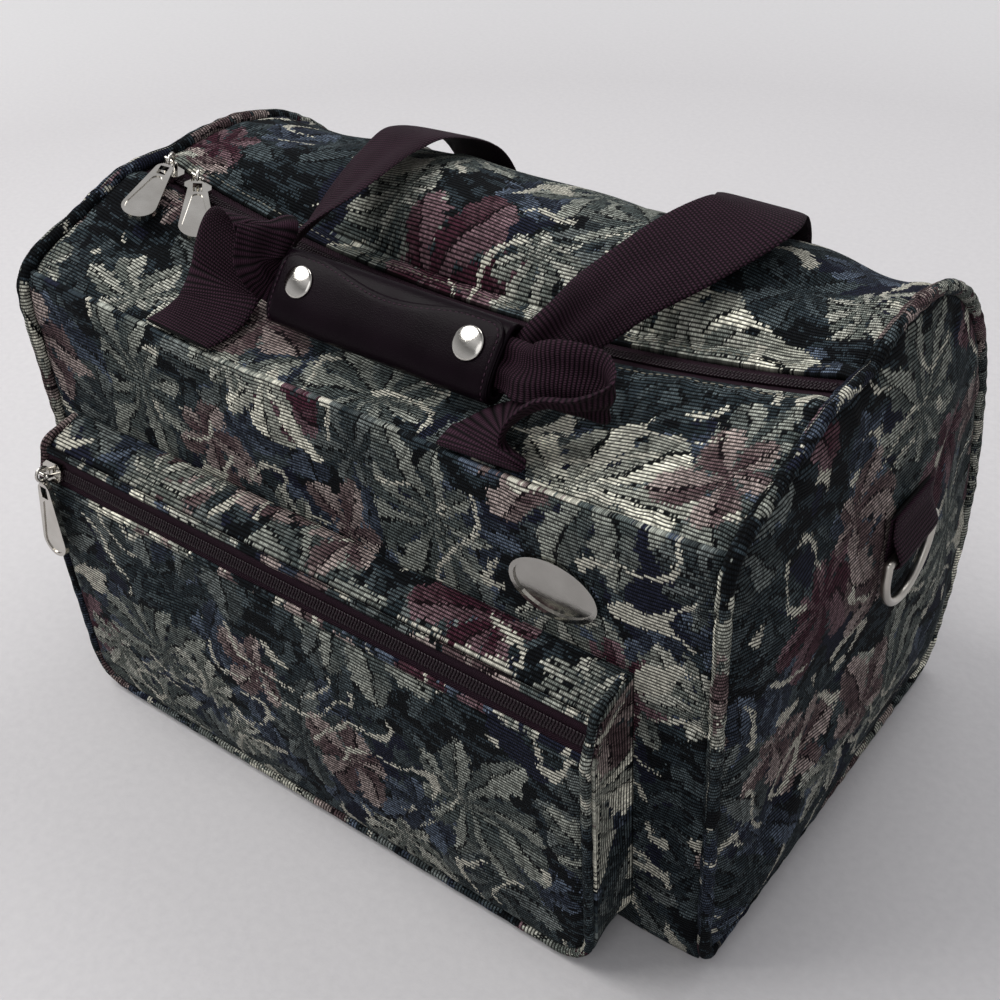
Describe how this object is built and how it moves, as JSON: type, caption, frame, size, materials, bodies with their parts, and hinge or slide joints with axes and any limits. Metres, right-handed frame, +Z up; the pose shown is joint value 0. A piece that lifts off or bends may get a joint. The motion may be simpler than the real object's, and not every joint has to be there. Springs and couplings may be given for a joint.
{
  "type": "carpet bag",
  "caption": "soft tapestry overnight bag with a sagging top zip, piped ends, zipped front pocket, webbing handles in a snapped leather wrap and a hinged ring at each end",
  "frame": {"origin": "middle of the underside of the base", "axes": "X along the bag, Y from the pocket side to the back, Z up"},
  "size_m": [0.4078, 0.2956, 0.2799],
  "materials": {
    "tapestry": "ribbed tapestry weave of leaves and flowers",
    "zip_tape": "fine plum tape",
    "zip_coil": "plum nylon coil",
    "webbing": "plum webbing with cross ribs",
    "leather": "smooth aubergine leather",
    "board": "plain stiff board",
    "nickel": "bright nickel"
  },
  "bodies": {
    "bag": {"front_panel": "tapestry", "front_top_panel": "tapestry", "rear_top_panel": "tapestry", "back_panel": "tapestry", "base_panel": "tapestry", "base_board": "board", "left_end_panel": "tapestry", "right_end_panel": "tapestry", "left_end_piping": "tapestry", "right_end_piping": "tapestry", "front_zip_tape": "zip_tape", "rear_zip_tape": "zip_tape", "main_zip_coil": "zip_coil", "pocket_front_panel": "tapestry", "pocket_gusset": "tapestry", "pocket_top_strip": "tapestry", "pocket_piping": "tapestry", "pocket_upper_tape": "zip_tape", "pocket_lower_tape": "zip_tape", "pocket_zip_coil": "zip_coil", "front_handle": "webbing", "rear_handle": "webbing", "handle_wrap": "leather", "snap_caps": "nickel", "left_ring_tab": "webbing", "right_ring_tab": "webbing", "badge_plate": "nickel"},
    "slider_a": {"main_slider_a": "nickel"},
    "pull_a": {"main_pull_a": "nickel"},
    "slider_b": {"main_slider_b": "nickel"},
    "pull_b": {"main_pull_b": "nickel"},
    "pocket_slider": {"pocket_slider": "nickel"},
    "pocket_pull": {"pocket_pull": "nickel"},
    "left_ring": {"left_d_ring": "nickel"},
    "right_ring": {"right_d_ring": "nickel"}
  },
  "joints": [
    {"name": "slider_a_travel", "type": "hinge", "parent": "bag", "child": "slider_a", "pos_m": [0, -0.041, 0.97928], "axis": [0, -1, 0], "range_deg": [0, 0.38]},
    {"name": "pull_a_lift", "type": "hinge", "parent": "slider_a", "child": "pull_a", "pos_m": [-0.16801, -0.041, 0.25503], "axis": [-0.8829, -0.4226, 0.2048], "range_deg": [0, 110]},
    {"name": "slider_b_travel", "type": "hinge", "parent": "bag", "child": "slider_b", "pos_m": [0, -0.041, 0.97928], "axis": [0, -1, 0], "range_deg": [0, 24.2]},
    {"name": "pull_b_lift", "type": "hinge", "parent": "slider_b", "child": "pull_b", "pos_m": [-0.15022, -0.041, 0.25113], "axis": [-0.6925, -0.7071, 0.1429], "range_deg": [0, 110]},
    {"name": "pocket_slider_travel", "type": "slide", "parent": "bag", "child": "pocket_slider", "axis": [1, 0, 0], "range_m": [0, 0.292]},
    {"name": "pocket_pull_lift", "type": "hinge", "parent": "pocket_slider", "child": "pocket_pull", "pos_m": [-0.155, -0.15635, 0.14369], "axis": [-1, 0, 0], "range_deg": [0, 150]},
    {"name": "left_ring_swing", "type": "hinge", "parent": "bag", "child": "left_ring", "pos_m": [-0.1997, 0.008, 0.16], "axis": [0, 1, 0], "range_deg": [0, 150]},
    {"name": "right_ring_swing", "type": "hinge", "parent": "bag", "child": "right_ring", "pos_m": [0.1997, 0.008, 0.16], "axis": [0, -1, 0], "range_deg": [0, 150]}
  ]
}
